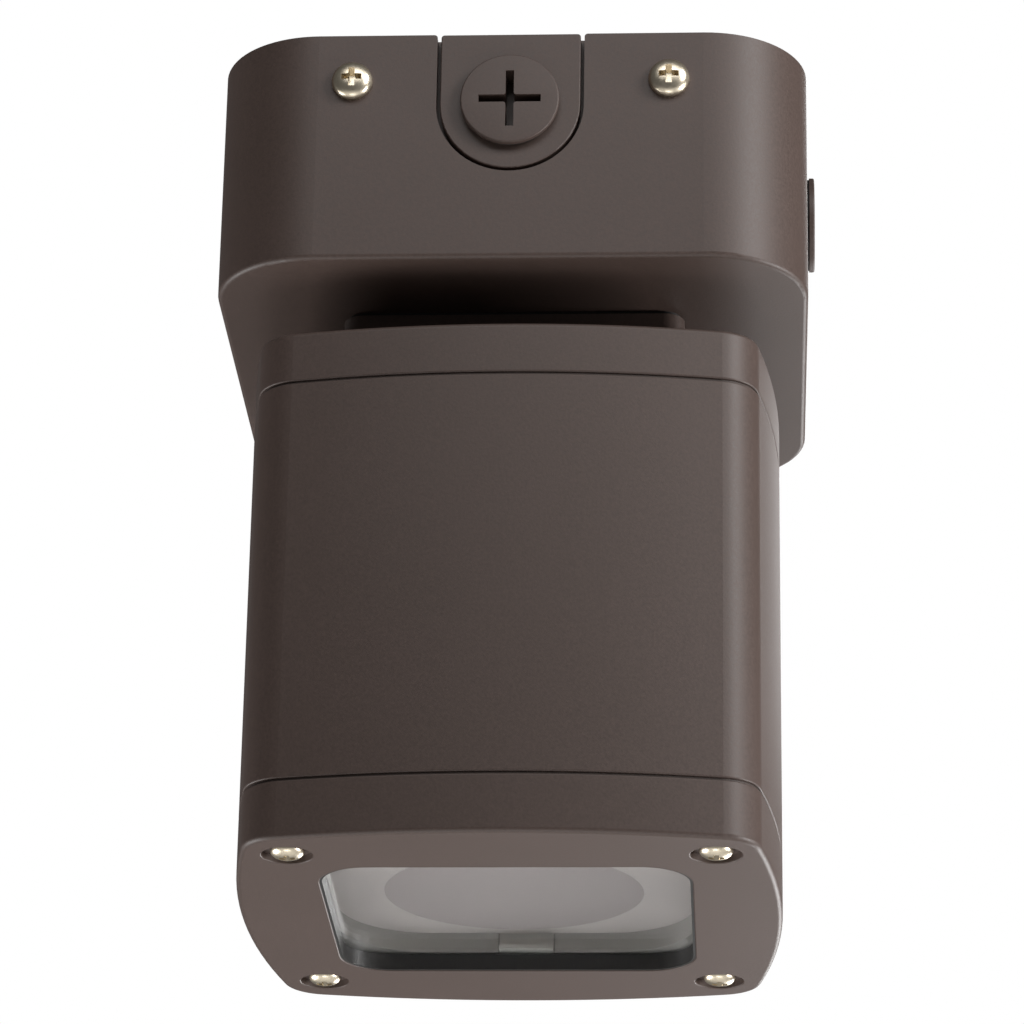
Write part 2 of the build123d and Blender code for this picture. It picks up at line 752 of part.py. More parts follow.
head_top_cap.part.label = "head_top_cap"
export_step(head_top_cap.part, "parts/head_top_cap.step")

# Rubber grommet in the cap, with one tight hole for each lead.
with BuildPart() as cable_grommet:
    for level, radius, height in (
        (cap_top, grommet_body / 2 + grommet_flange, grommet_lip),
        (cap_ceiling, grommet_body / 2, cap_top_thickness),
        (cap_ceiling - grommet_lip, grommet_body / 2 + grommet_flange, grommet_lip),
    ):
        with BuildSketch(Plane.XY.offset(level)):
            with Locations((0, wire_y)):
                Circle(radius)
        extrude(amount=height)
    with BuildSketch(Plane.XY.offset(cap_top + grommet_lip + overrun)):
        with Locations(*wires_at):
            Circle(board_lead / 2 + thread_gap)
    extrude(amount=-cap_top_thickness - 2 * grommet_lip - 2 * overrun, mode=Mode.SUBTRACT)
cable_grommet.part.label = "cable_grommet"
export_step(cable_grommet.part, "parts/cable_grommet.step")

with BuildPart() as cap_screws:
    with Locations(*at_level(corners_at, cap_top - cap_counterbore_depth)):
        add(cap_screw)
cap_screws.part.label = "cap_screws"
export_step(cap_screws.part, "parts/cap_screws.step")

cap_gasket = seam_gasket(body_top)
cap_gasket.label = "cap_gasket"
export_step(cap_gasket, "parts/cap_gasket.step")

bezel_gasket = seam_gasket(bezel_top)
bezel_gasket.label = "bezel_gasket"
export_step(bezel_gasket, "parts/bezel_gasket.step")

# Head body, a tube with a screw boss in each corner and four lugs that carry the heat sink.
with BuildPart() as head_body:
    with BuildSketch(Plane.XY.offset(body_bottom)):
        add(head_outline(0))
    extrude(amount=body_height)
    fillet(head_body.faces().sort_by(Axis.Z)[-1].edges(), seam_edge)
    fillet(head_body.faces().sort_by(Axis.Z)[0].edges(), seam_edge)
    with BuildSketch(Plane.XY.offset(body_bottom)):
        add(head_outline(head_wall))
    extrude(amount=body_height, mode=Mode.SUBTRACT)
    with BuildSketch(Plane.XY.offset(body_bottom)):
        add(corner_bosses(corner_boss))
    extrude(amount=body_height)
    with BuildSketch(Plane.XY.offset(sink_top)):
        for x in (-1, 1):
            for y in (-sink_lug_side, sink_lug_side):
                lug_inner = sink_width / 2 - lug_reach
                lug_outer = head_width / 2
                with Locations((x * (lug_inner + lug_outer) / 2, y)):
                    Rectangle(lug_outer - lug_inner, sink_lug_width)
        add(head_outline(head_wall / 2), mode=Mode.INTERSECT)
    extrude(amount=sink_lug_height)
    with BuildSketch(Plane.XY.offset(sink_top)):
        with Locations(*sink_screws_at):
            Circle(m4_shank / 2 + thread_gap)
    extrude(amount=sink_lug_height, mode=Mode.SUBTRACT)
    for level, way in ((body_top, -1), (body_bottom, 1)):
        with BuildSketch(Plane.XY.offset(level)):
            with Locations(*corners_at):
                Circle(m4_shank / 2 + thread_gap)
        extrude(amount=way * corner_hole_depth, mode=Mode.SUBTRACT)
head_body.part.label = "head_body"
export_step(head_body.part, "parts/head_body.step")

# Heat sink: a base that hangs from the lugs, with upright fins on it.
sink_fins_span = sink_width - 2 * fin_side_room
fin_step = (sink_fins_span - fin_thickness) / (fin_count - 1)
fin_depth = sink_depth - fin_front_room - fin_rear_room
fin_y = (fin_front_room - fin_rear_room) / 2
with BuildPart() as heat_sink:
    with BuildSketch(Plane.XY.offset(pad_top)):
        Rectangle(sink_width, sink_depth)
        with Locations(*corners_at):
            Circle(corner_boss / 2 + sink_corner_gap, mode=Mode.SUBTRACT)
        with Locations(*[(x * 2, y * 2) for x, y in corners_at]):
            Rectangle(2 * corner_x, 2 * corner_y, mode=Mode.SUBTRACT)
        with Locations((0, -sink_depth / 2)):
            Rectangle(channel_width, sink_depth - board_depth - 2 * channel_back, mode=Mode.SUBTRACT)
    extrude(amount=sink_base)
    with BuildSketch(Plane.XY.offset(sink_top)):
        for step in range(fin_count):
            with Locations((-sink_fins_span / 2 + fin_thickness / 2 + step * fin_step, fin_y)):
                Rectangle(fin_thickness, fin_depth)
    extrude(amount=fin_height)
    with BuildSketch(Plane.XY.offset(pad_top)):
        with Locations(*sink_screws_at):
            Circle(m4_shank / 2 + clearance_hole_gap)
    extrude(amount=sink_base, mode=Mode.SUBTRACT)
    with BuildSketch(Plane.XY.offset(pad_top)):
        with Locations(*board_screws_at):
            Circle(m3_shank / 2 + thread_gap)
    extrude(amount=board_screw_length, mode=Mode.SUBTRACT)
heat_sink.part.label = "heat_sink"
export_step(heat_sink.part, "parts/heat_sink.step")

with BuildPart() as heatsink_screws:
    with Locations(*hanging_at(sink_screws_at, pad_top)):
        add(sink_screw)
heatsink_screws.part.label = "heatsink_screws"
export_step(heatsink_screws.part, "parts/heatsink_screws.step")

with BuildPart() as thermal_pad:
    with BuildSketch(Plane.XY.offset(board_top)):
        RectangleRounded(board_width, board_depth, board_corner)
        with Locations(*board_screws_at):
            Circle(m3_shank / 2 + clearance_hole_gap, mode=Mode.SUBTRACT)
    extrude(amount=pad_thickness)
thermal_pad.part.label = "thermal_pad"
export_step(thermal_pad.part, "parts/thermal_pad.step")

with BuildPart() as led_board:
    with BuildSketch(Plane.XY.offset(board_bottom)):
        RectangleRounded(board_width, board_depth, board_corner)
        with Locations(*board_screws_at):
            Circle(m3_shank / 2 + clearance_hole_gap, mode=Mode.SUBTRACT)
    extrude(amount=board_thickness)
led_board.part.label = "led_board"
export_step(led_board.part, "parts/led_board.step")

with BuildPart() as board_screws:
    with Locations(*hanging_at(board_screws_at, board_bottom)):
        add(board_screw)
board_screws.part.label = "board_screws"
export_step(board_screws.part, "parts/board_screws.step")

with BuildPart() as led_emitters:
    with BuildSketch(Plane.XY.offset(board_bottom)):
        with Locations(*emitters_at):
            Rectangle(emitter_side, emitter_side)
    extrude(amount=-emitter_height)
led_emitters.part.label = "led_emitters"
export_step(led_emitters.part, "parts/led_emitters.step")

# Connector on the board's front edge, and the two leads from the driver that end in it.
connector_y = -board_depth / 2 + connector_depth / 2
with BuildPart() as board_connector:
    with BuildSketch(Plane.XY.offset(board_bottom)):
        with Locations((0, connector_y)):
            Rectangle(connector_width, connector_depth)
    extrude(amount=-connector_height)
board_connector.part.label = "board_connector"
export_step(board_connector.part, "parts/board_connector.step")

channel_y = -board_depth / 2 - channel_out
for step, name in enumerate(("positive_lead", "negative_lead")):
    start_y = driver_front + lead_first + step * lead_pitch
    lane_x = driver_length / 2 + lead_out + step * lead_lane
    down_x, down_y = wires_at[step]
    pin_x = wire_spread - 2 * wire_spread * step
    aside_z = cap_bottom - channel_start
    pin_z = board_bottom - connector_height / 2
    output = lead(
        board_lead,
        [lead_bend, lead_bend, lead_bend, channel_bend, channel_bend, lead_bend],
        (driver_length / 2, start_y, lead_z),
        (lane_x, start_y, lead_z),
        (lane_x, down_y, lead_z),
        (down_x, down_y, lead_z),
        (down_x, down_y, aside_z),
        (pin_x, channel_y, aside_z - channel_run),
        (pin_x, channel_y, pin_z),
        (pin_x, -board_depth / 2, pin_z),
    )
    output.label = name
    export_step(output, "parts/" + name + ".step")

# Optic: a low puck that stands down through the reflector plate, with a flange above it.
puck_bottom = frame_top - optic_proud
with BuildPart() as optic_lens:
    with BuildSketch(Plane.XY.offset(puck_bottom)):
        with Locations((0, optic_setback)):
            Ellipse(optic_width / 2, optic_depth / 2)
    extrude(amount=reflector_top - puck_bottom)
    fillet(optic_lens.faces().sort_by(Axis.Z)[0].edges(), optic_edge)
    with BuildSketch(Plane.XY.offset(reflector_top)):
        with Locations((0, optic_setback)):
            Ellipse(optic_width / 2 + optic_flange, optic_depth / 2 + optic_flange)
    extrude(amount=optic_flange_thickness)
    with BuildSketch(Plane.XY.offset(board_bottom)):
        with Locations(*emitters_at):
            Rectangle(emitter_side + 2 * emitter_room, emitter_side + 2 * emitter_room)
    extrude(amount=-emitter_height - emitter_room, mode=Mode.SUBTRACT)
optic_lens.part.label = "optic_lens"
export_step(optic_lens.part, "parts/optic_lens.step")

# Reflector plate, lens frame and glass, which lie in the bezel's pocket one on the other.
clip_ends = (-1, 1)
clip_slot = clip_width + 2 * seat_gap
frame_slot = clip_setback + clip_metal + seat_gap
plate_notch = glass_lap - clip_setback + seat_gap
with BuildPart() as reflector_plate:
    with BuildSketch(Plane.XY.offset(frame_top)):
        RectangleRounded(glass_width, glass_depth, glass_corner)
        with Locations((0, optic_setback)):
            Ellipse(optic_width / 2 + seat_gap, optic_depth / 2 + seat_gap, mode=Mode.SUBTRACT)
        with Locations(*[(clip_offset, end * glass_depth / 2) for end in clip_ends]):
            Rectangle(clip_slot, 2 * plate_notch, mode=Mode.SUBTRACT)
    extrude(amount=reflector_thickness)
reflector_plate.part.label = "reflector_plate"
export_step(reflector_plate.part, "parts/reflector_plate.step")

with BuildPart() as lens_frame:
    with BuildSketch(Plane.XY.offset(glass_top)):
        RectangleRounded(glass_width, glass_depth, glass_corner)
        RectangleRounded(window_width, window_depth, frame_corner, mode=Mode.SUBTRACT)
        with Locations(*[(clip_offset, end * window_depth / 2) for end in clip_ends]):
            Rectangle(clip_slot, 2 * frame_slot, mode=Mode.SUBTRACT)
    extrude(amount=frame_height)
lens_frame.part.label = "lens_frame"
export_step(lens_frame.part, "parts/lens_frame.step")

with BuildPart() as lens_glass:
    with BuildSketch(Plane.XY.offset(glass_bottom)):
        RectangleRounded(glass_width, glass_depth, glass_corner)
    extrude(amount=glass_thickness)
lens_glass.part.label = "lens_glass"
export_step(lens_glass.part, "parts/lens_glass.step")

with BuildPart() as lens_gasket:
    with BuildSketch(Plane.XY.offset(lip_top)):
        RectangleRounded(glass_width, glass_depth, glass_corner)
    extrude(amount=lens_seal)
    with BuildSketch(Plane.XY.offset(bezel_bottom + coat_edge)):
        RectangleRounded(window_width, window_depth, window_corner)
    extrude(amount=bezel_lip - coat_edge)
    with BuildSketch(Plane.XY.offset(bezel_bottom)):
        RectangleRounded(
            window_width - 2 * lens_seal_skirt,
            window_depth - 2 * lens_seal_skirt,
            window_corner - lens_seal_skirt,
        )
    extrude(amount=bezel_lip + lens_seal, mode=Mode.SUBTRACT)
lens_gasket.part.label = "lens_gasket"
export_step(lens_gasket.part, "parts/lens_gasket.step")

# Clips: a foot on the glass, a leg in the frame's slot and a flange screwed to the bezel.
leg_y = window_depth / 2 + clip_setback
clip_screws_at = [(clip_offset, end * clip_screw_y) for end in clip_ends]
with BuildPart() as lens_clips:
    for end in clip_ends:
        with BuildSketch(Plane.YZ.offset(clip_offset - clip_width / 2)):
            with BuildLine():
                Polyline(
                    (end * (leg_y - clip_foot), glass_top),
                    (end * (leg_y + clip_metal), glass_top),
                    (end * (leg_y + clip_metal), frame_top),
                    (end * (clip_screw_y + clip_pad / 2), frame_top),
                    (end * (clip_screw_y + clip_pad / 2), frame_top + clip_metal),
                    (end * leg_y, frame_top + clip_metal),
                    (end * leg_y, glass_top + clip_metal),
                    (end * (leg_y - clip_foot), glass_top + clip_metal),
                    close=True,
                )
            make_face()
        extrude(amount=clip_width)
    with BuildSketch(Plane.XY.offset(frame_top - overrun)):
        with Locations(*clip_screws_at):
            Circle(m3_shank / 2 + clearance_hole_gap)
    extrude(amount=clip_metal + 2 * overrun, mode=Mode.SUBTRACT)
lens_clips.part.label = "lens_clips"
export_step(lens_clips.part, "parts/lens_clips.step")

with BuildPart() as clip_screws:
    with Locations(*at_level(clip_screws_at, frame_top + clip_metal)):
        add(clip_screw)
clip_screws.part.label = "clip_screws"
export_step(clip_screws.part, "parts/clip_screws.step")

# Bezel: the lower casting, with the window, a pocket for the glass, and screws in counterbores.
pocket_width = glass_width + 2 * seat_gap
pocket_depth = glass_depth + 2 * seat_gap
bezel_boss = bezel_counterbore + 2 * bezel_boss_wall
with BuildPart() as bezel:
    with BuildSketch(Plane.XY.offset(bezel_bottom)):
        add(head_outline(0))
    extrude(amount=bezel_height)
    fillet(bezel.faces().sort_by(Axis.Z)[0].edges(), head_edge)
    fillet(bezel.faces().sort_by(Axis.Z)[-1].edges(), seam_edge)
    with BuildSketch(Plane.XY.offset(lip_top)):
        add(head_outline(head_wall))
    extrude(amount=bezel_height, mode=Mode.SUBTRACT)
    with BuildSketch(Plane.XY.offset(bezel_bottom + bezel_lip / 2)):
        with Locations(*corners_at):
            Circle(bezel_boss / 2)
        add(head_outline(head_wall / 2), mode=Mode.INTERSECT)
    extrude(amount=bezel_height - bezel_lip / 2)
    with BuildSketch(Plane.XY.offset(lip_top)):
        RectangleRounded(
            pocket_width + 2 * rim_wall, pocket_depth + 2 * rim_wall, glass_corner + seat_gap + rim_wall
        )
        with Locations(*clip_screws_at):
            Circle(clip_pad / 2)
        with Locations(*[(clip_offset, end * (clip_screw_y - clip_pad / 2)) for end in clip_ends]):
            Rectangle(clip_pad, clip_pad)
    extrude(amount=frame_top - lip_top)
    with BuildSketch(Plane.XY.offset(lip_top)):
        RectangleRounded(pocket_width, pocket_depth, glass_corner + seat_gap)
    extrude(amount=bezel_height, mode=Mode.SUBTRACT)
    with BuildSketch(Plane.XY.offset(bezel_bottom - overrun)):
        RectangleRounded(window_width, window_depth, window_corner)
    extrude(amount=bezel_lip + 2 * overrun, mode=Mode.SUBTRACT)
    with BuildSketch(Plane.XY.offset(bezel_bottom)):
        with Locations(*corners_at):
            Circle(bezel_counterbore / 2)
    extrude(amount=bezel_counterbore_depth, mode=Mode.SUBTRACT)
    with BuildSketch(Plane.XY.offset(bezel_bottom)):
        with Locations(*corners_at):
            Circle(m4_shank / 2 + clearance_hole_gap)
    extrude(amount=bezel_height + overrun, mode=Mode.SUBTRACT)
    with BuildSketch(Plane.XY.offset(frame_top)):
        with Locations(*clip_screws_at):
            Circle(m3_shank / 2 + thread_gap)
    extrude(amount=-clip_screw_length, mode=Mode.SUBTRACT)
    openings = bezel.faces().sort_by(Axis.Z)[0].inner_wires()
    fillet([edge for opening in openings for edge in opening.edges()], coat_edge)
bezel.part.label = "bezel"
export_step(bezel.part, "parts/bezel.step")

with BuildPart() as bezel_screws:
    with Locations(*hanging_at(corners_at, bezel_bottom + bezel_counterbore_depth)):
        add(bezel_screw)
bezel_screws.part.label = "bezel_screws"
export_step(bezel_screws.part, "parts/bezel_screws.step")
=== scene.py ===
"""The look of an LED canopy light: dark bronze castings, bright screws and a small glass window.

The light's own sizes are in millimetres and are multiplied by MM where they are used. The studio is in
metres. The ceiling is at Z = 0, the light hangs below it and its front is at -Y.
"""

import json
import math

import bpy
from mathutils import Matrix, Vector


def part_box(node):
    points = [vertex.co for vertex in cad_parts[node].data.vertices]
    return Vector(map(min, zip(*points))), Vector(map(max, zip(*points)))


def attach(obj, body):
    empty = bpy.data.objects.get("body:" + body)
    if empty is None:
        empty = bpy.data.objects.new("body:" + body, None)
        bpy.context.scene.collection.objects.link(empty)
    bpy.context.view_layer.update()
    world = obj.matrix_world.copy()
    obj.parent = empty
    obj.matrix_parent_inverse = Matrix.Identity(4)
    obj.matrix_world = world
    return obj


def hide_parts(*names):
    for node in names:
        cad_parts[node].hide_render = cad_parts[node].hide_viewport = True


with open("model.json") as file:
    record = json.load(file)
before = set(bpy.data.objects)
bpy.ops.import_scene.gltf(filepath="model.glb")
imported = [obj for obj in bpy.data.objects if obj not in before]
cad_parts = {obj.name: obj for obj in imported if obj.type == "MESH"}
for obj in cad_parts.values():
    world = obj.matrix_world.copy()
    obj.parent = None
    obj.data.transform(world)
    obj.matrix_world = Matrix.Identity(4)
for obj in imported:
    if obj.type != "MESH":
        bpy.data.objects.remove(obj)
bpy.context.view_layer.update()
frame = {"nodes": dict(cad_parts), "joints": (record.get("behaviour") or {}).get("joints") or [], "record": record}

MM = 0.001

# Photograph: the camera stands in front of the light, below it, and looks up.
image_side = 1024
focal_pixels = 4515.0
sensor_width = 36.0
camera_place = Vector((56.7, -1027.9, -532.2)) * MM
camera_turn = -0.0567
camera_rise = 0.3999
camera_roll = 0.0172
nearest_seen = 10.0

# Studio, in metres and watts: each soft box's place, the point that it faces, its sides and power.
floor_level = -1.6
floor_size = 4.0
surround_strength = 0.10  # light of the surround; the camera sees it as plain white
soft_boxes = {
    "key": ((1.0, -0.72, 0.45), (0, 0, -0.08), (0.45, 0.6), 13.0),
    "top": ((0.05, -0.48, 0.29), (0, 0, -0.03), (0.5, 0.25), 1.25),
    "front_below": ((0.0, -0.5, -1.3), (0, 0, -0.1), (0.5, 0.3), 1.75),
    "left_below": ((-1.0, 0.2, -0.9), (0, 0, -0.1), (0.6, 0.6), 13.0),
    "right_below": ((1.2, -0.1, -0.55), (0, 0, -0.08), (0.4, 0.4), 17.0),
    "rear_below": ((0.5, 1.1, -0.55), (0, 0, -0.1), (0.5, 0.5), 8.2),
    "rear_above": ((0.25, 1.1, 0.5), (0, 0, -0.1), (0.5, 0.5), 3.0),
    "floor_wash": ((0, 0, -1.5), (0, 0, -1.6), (4.0, 4.0), 24.0),
}

# Pan-head screws: head diameter, head height, shank diameter and thread pitch.
screw_steps = 48  # steps round a screw
head_steps = 16  # steps up the side of its head
thread_steps = 8  # rings in each turn of the thread
m5_screw = {"head": 10.0, "height": 3.3, "shank": 5.0, "pitch": 0.8, "length": 12.0}
m4_screw = {"head": 8.0, "height": 2.6, "shank": 4.0, "pitch": 0.7, "length": 22.0}
head_shape = 2.5  # how square the head's side is, from 2 for an ellipse upwards
head_seat_share = 0.97  # radius of the head's lower face, of the head's own
tip_share = 0.7  # radius of the screw's flat tip, of the shank's
tip_rise_share = 0.3  # height of the tip's bevel, of the shank's radius
recess_top_share = 0.60  # length of the recess at the top, of the head's diameter
recess_foot_share = 0.26
recess_width_share = 0.15
recess_depth_share = 0.80  # of the head's height
recess_centre_share = 0.24
recess_centre_foot_share = 0.5  # of the recess's centre at the top
thread_depth_share = 0.50  # of the pitch

# Closure plugs.
plug_steps = 96  # steps round a plug
plug_edge_steps = 6
plug_thread_steps = 12  # rings in each turn of the thread
plug_head_thickness = 1.3
plug_edge = 0.4
inch = 25.4
plug_threads_per_inch = 14
plug_pitch = inch / plug_threads_per_inch
plug_tip_bevel = 1.0
plug_thread_start = 1.2  # from the plug's tip to the first ring of the thread
plug_thread_stop = 0.8  # from the head to the last ring
plug_relief = 0.9  # depth of the groove under the head
plug_relief_height = 0.4
plug_slot_length = 15.0
plug_slot_width = 2.0
plug_slot_depth = 6.5
plug_slot_centre = 3.4
plug_neck_gap = 0.25

# Optic: an oval puck whose thin lip lies on the reflector plate, with a flange and a tray above.
optic_flange = 3.0
optic_flat = 7.0  # from the oval's edge to its flat face
optic_lip = 0.8
optic_lip_thickness = 0.05
optic_tray_wall = 2.0
optic_tray_depth = 1.8
oval_steps = 128
dome_steps = 8

# Glass pane.
glass_corner = 16.0
glass_corner_steps = 12
glass_arris = 0.3  # the ground edge
glass_air = 0.03  # film of air between the pane and what lies on it

overrun = 1.0  # how far a cutter stands out of what it cuts
crease_angle = 35  # degrees: a sharper edge isn't shaded smooth


def linear(code):
    """A colour written as sRGB hex, as linear red, green and blue with alpha."""
    shares = [int(code[place:place + 2], 16) / 255 for place in (1, 3, 5)]
    return [s / 12.92 if s <= 0.04045 else ((s + 0.055) / 1.055) ** 2.4 for s in shares] + [1.0]


def per_mm(size):
    """A pattern's scale for features of that many millimetres."""
    return 1 / (size * MM)


def add_node(material, kind, inputs=None, **settings):
    """Adds a node. Each input is a value, or the output of another node that feeds it."""
    tree = material.node_tree
    node = tree.nodes.new(kind)
    for name, value in settings.items():
        setattr(node, name, value)
    for name, value in (inputs or {}).items():
        if isinstance(value, bpy.types.NodeSocket):
            tree.links.new(value, node.inputs[name])
        else:
            node.inputs[name].default_value = value
    return node


def finish_of(name, **shader_inputs):
    """A new material with its shader, and the position on the piece that its patterns follow."""
    material = bpy.data.materials.new(name)
    material.use_nodes = True
    material.node_tree.nodes.clear()
    place = add_node(material, "ShaderNodeTexCoord").outputs["Object"]
    inputs = {key.replace("_", " "): value for key, value in shader_inputs.items()}
    shader = add_node(material, "ShaderNodeBsdfPrincipled", inputs)
    add_node(material, "ShaderNodeOutputMaterial", {"Surface": shader.outputs["BSDF"]})
    return material, shader, place


def join(material, output, socket):
    """Feeds a node's output into a socket of the shader."""
    material.node_tree.links.new(output, socket)


def bronze_powder_coat():
    """Polyester powder coat in dark bronze, baked on cast aluminium.

    The eye sees a soft satin sheen over a fine pebbled skin, slightly cloudy where the film is thicker.
    """
    coat, shader, place = finish_of("bronze_powder_coat", Roughness=0.5)
    cloud = add_node(
        coat, "ShaderNodeTexNoise", {"Vector": place, "Scale": per_mm(35), "Detail": 4.0}
    )
    pebble = add_node(
        coat, "ShaderNodeTexNoise", {"Vector": place, "Scale": per_mm(0.7), "Detail": 3.0, "Roughness": 0.6}
    )
    tone = add_node(
        coat,
        "ShaderNodeMixRGB",
        {"Fac": cloud.outputs["Fac"], "Color1": linear("#41342e"), "Color2": linear("#473934")},
    )
    speck = add_node(
        coat,
        "ShaderNodeMapRange",
        {"Value": pebble.outputs["Fac"], "From Min": 0.3, "From Max": 0.7, "To Min": 0.86, "To Max": 1.12},
    )
    colour = add_node(
        coat,
        "ShaderNodeMixRGB",
        {"Fac": 1.0, "Color1": tone.outputs["Color"], "Color2": speck.outputs["Result"]},
        blend_type="MULTIPLY",
    )
    sheen = add_node(
        coat, "ShaderNodeMapRange", {"Value": pebble.outputs["Fac"], "To Min": 0.44, "To Max": 0.60}
    )
    skin = add_node(
        coat,
        "ShaderNodeBump",
        {"Height": pebble.outputs["Fac"], "Strength": 0.35, "Distance": 0.06 * MM},
    )
    join(coat, colour.outputs["Color"], shader.inputs["Base Color"])
    join(coat, sheen.outputs["Result"], shader.inputs["Roughness"])
    join(coat, skin.outputs["Normal"], shader.inputs["Normal"])
    return coat


def stainless_steel():
    """Stainless steel screws, cold headed and tumbled: bright and warm, with fine soft scratches."""
    steel, shader, place = finish_of("stainless_steel", Metallic=1.0)
    scratch = add_node(
        steel, "ShaderNodeTexNoise", {"Vector": place, "Scale": per_mm(0.5), "Detail": 5.0, "Roughness": 0.7}
    )
    tone = add_node(
        steel,
        "ShaderNodeMixRGB",
        {"Fac": scratch.outputs["Fac"], "Color1": linear("#c4b8a2"), "Color2": linear("#e6dbc6")},
    )
    sheen = add_node(
        steel, "ShaderNodeMapRange", {"Value": scratch.outputs["Fac"], "To Min": 0.22, "To Max": 0.42}
    )
    dents = add_node(
        steel,
        "ShaderNodeBump",
        {"Height": scratch.outputs["Fac"], "Strength": 0.25, "Distance": 0.03 * MM},
    )
    join(steel, tone.outputs["Color"], shader.inputs["Base Color"])
    join(steel, sheen.outputs["Result"], shader.inputs["Roughness"])
    join(steel, dents.outputs["Normal"], shader.inputs["Normal"])
    return steel


def zinc_plated_steel():
    """Zinc plate on steel screws: a cool bluish grey with cloudy, slightly iridescent patches."""
    zinc, shader, place = finish_of("zinc_plated_steel", Metallic=1.0)
    bloom = add_node(zinc, "ShaderNodeTexNoise", {"Vector": place, "Scale": per_mm(1.5), "Detail": 4.0})
    tone = add_node(
        zinc,
        "ShaderNodeMixRGB",
        {"Fac": bloom.outputs["Fac"], "Color1": linear("#a9afb8"), "Color2": linear("#cfcdbf")},
    )
    sheen = add_node(
        zinc, "ShaderNodeMapRange", {"Value": bloom.outputs["Fac"], "To Min": 0.25, "To Max": 0.42}
    )
    join(zinc, tone.outputs["Color"], shader.inputs["Base Color"])
    join(zinc, sheen.outputs["Result"], shader.inputs["Roughness"])
    return zinc


def spring_steel():
    """Rolled stainless spring strip for the clips, tumbled: pale and half matt, with fine lines along X."""
    strip, shader, place = finish_of("spring_steel", Metallic=1.0)
    along = add_node(strip, "ShaderNodeMapping", {"Vector": place, "Scale": (0.05, 1.0, 1.0)})
    lines = add_node(
        strip,
        "ShaderNodeTexNoise",
        {"Vector": along.outputs["Vector"], "Scale": per_mm(0.15), "Detail": 3.0},
    )
    tone = add_node(
        strip,
        "ShaderNodeMixRGB",
        {"Fac": lines.outputs["Fac"], "Color1": linear("#dadad6"), "Color2": linear("#f0efea")},
    )
    sheen = add_node(
        strip, "ShaderNodeMapRange", {"Value": lines.outputs["Fac"], "To Min": 0.68, "To Max": 0.84}
    )
    join(strip, tone.outputs["Color"], shader.inputs["Base Color"])
    join(strip, sheen.outputs["Result"], shader.inputs["Roughness"])
    return strip


def cast_aluminium():
    """Die-cast aluminium without paint: a soft grey skin with flow marks and a fine grain."""
    cast, shader, place = finish_of("cast_aluminium", Metallic=1.0)
    flow = add_node(cast, "ShaderNodeTexNoise", {"Vector": place, "Scale": per_mm(12), "Detail": 5.0})
    grain = add_node(cast, "ShaderNodeTexNoise", {"Vector": place, "Scale": per_mm(0.4), "Detail": 2.0})
    tone = add_node(
        cast,
        "ShaderNodeMixRGB",
        {"Fac": flow.outputs["Fac"], "Color1": linear("#a7a8a8"), "Color2": linear("#c3c3c1")},
    )
    sheen = add_node(
        cast, "ShaderNodeMapRange", {"Value": flow.outputs["Fac"], "To Min": 0.40, "To Max": 0.58}
    )
    skin = add_node(
        cast, "ShaderNodeBump", {"Height": grain.outputs["Fac"], "Strength": 0.3, "Distance": 0.05 * MM}
    )
    join(cast, tone.outputs["Color"], shader.inputs["Base Color"])
    join(cast, sheen.outputs["Result"], shader.inputs["Roughness"])
    join(cast, skin.outputs["Normal"], shader.inputs["Normal"])
    return cast


def brass():
    """Machined brass clamps and ground screw: yellow metal, a little dulled by handling."""
    metal, shader, place = finish_of("brass", Metallic=1.0)
    tarnish = add_node(metal, "ShaderNodeTexNoise", {"Vector": place, "Scale": per_mm(2), "Detail": 4.0})
    tone = add_node(
        metal,
        "ShaderNodeMixRGB",
        {"Fac": tarnish.outputs["Fac"], "Color1": linear("#b08d4a"), "Color2": linear("#d9b871")},
    )
    sheen = add_node(
        metal, "ShaderNodeMapRange", {"Value": tarnish.outputs["Fac"], "To Min": 0.22, "To Max": 0.40}
    )
    join(metal, tone.outputs["Color"], shader.inputs["Base Color"])
    join(metal, sheen.outputs["Result"], shader.inputs["Roughness"])
    return metal


def soft_skin(name, dark, light, roughness, bump, grain, **more):
    """A moulded or painted skin: two close tones in a fine grain, and the bump of that grain."""
    skin, shader, place = finish_of(name, Roughness=roughness, **more)
    pattern = add_node(
        skin, "ShaderNodeTexNoise", {"Vector": place, "Scale": per_mm(grain), "Detail": 3.0}
    )
    tone = add_node(
        skin,
        "ShaderNodeMixRGB",
        {"Fac": pattern.outputs["Fac"], "Color1": linear(dark), "Color2": linear(light)},
    )
    relief = add_node(
        skin,
        "ShaderNodeBump",
        {"Height": pattern.outputs["Fac"], "Strength": bump, "Distance": 0.05 * MM},
    )
    join(skin, tone.outputs["Color"], shader.inputs["Base Color"])
    join(skin, relief.outputs["Normal"], shader.inputs["Normal"])
    return skin


def epdm_rubber():
    """Moulded EPDM seals: near black and matt, with a faint bloom on the skin."""
    return soft_skin("epdm_rubber", "#161616", "#242423", 0.72, 0.4, 0.8)


def brown_epdm():
    """Dark brown EPDM in the seams of the head, near the coat's own colour, so that a seam stays soft."""
    return soft_skin("brown_epdm", "#3a2f2b", "#453934", 0.6, 0.2, 0.8)


def silicone_rubber():
    """Black silicone gasket whose skirt lines the window: soft, slightly waxy and smooth."""
    return soft_skin("silicone_rubber", "#1c1b1a", "#252423", 0.5, 0.1, 1.5)


def grey_polyester():
    """Glass-filled polyester frame round the lens, moulded in mid grey with a fine spark grain."""
    return soft_skin("grey_polyester", "#a9a7a3", "#b3b1ad", 0.55, 0.25, 0.5)


def white_enamel():
    """Baked white enamel on the reflector plate: smooth, even and half matt."""
    return soft_skin("white_enamel", "#d4cdca", "#dad4d1", 0.42, 0.08, 1.0)


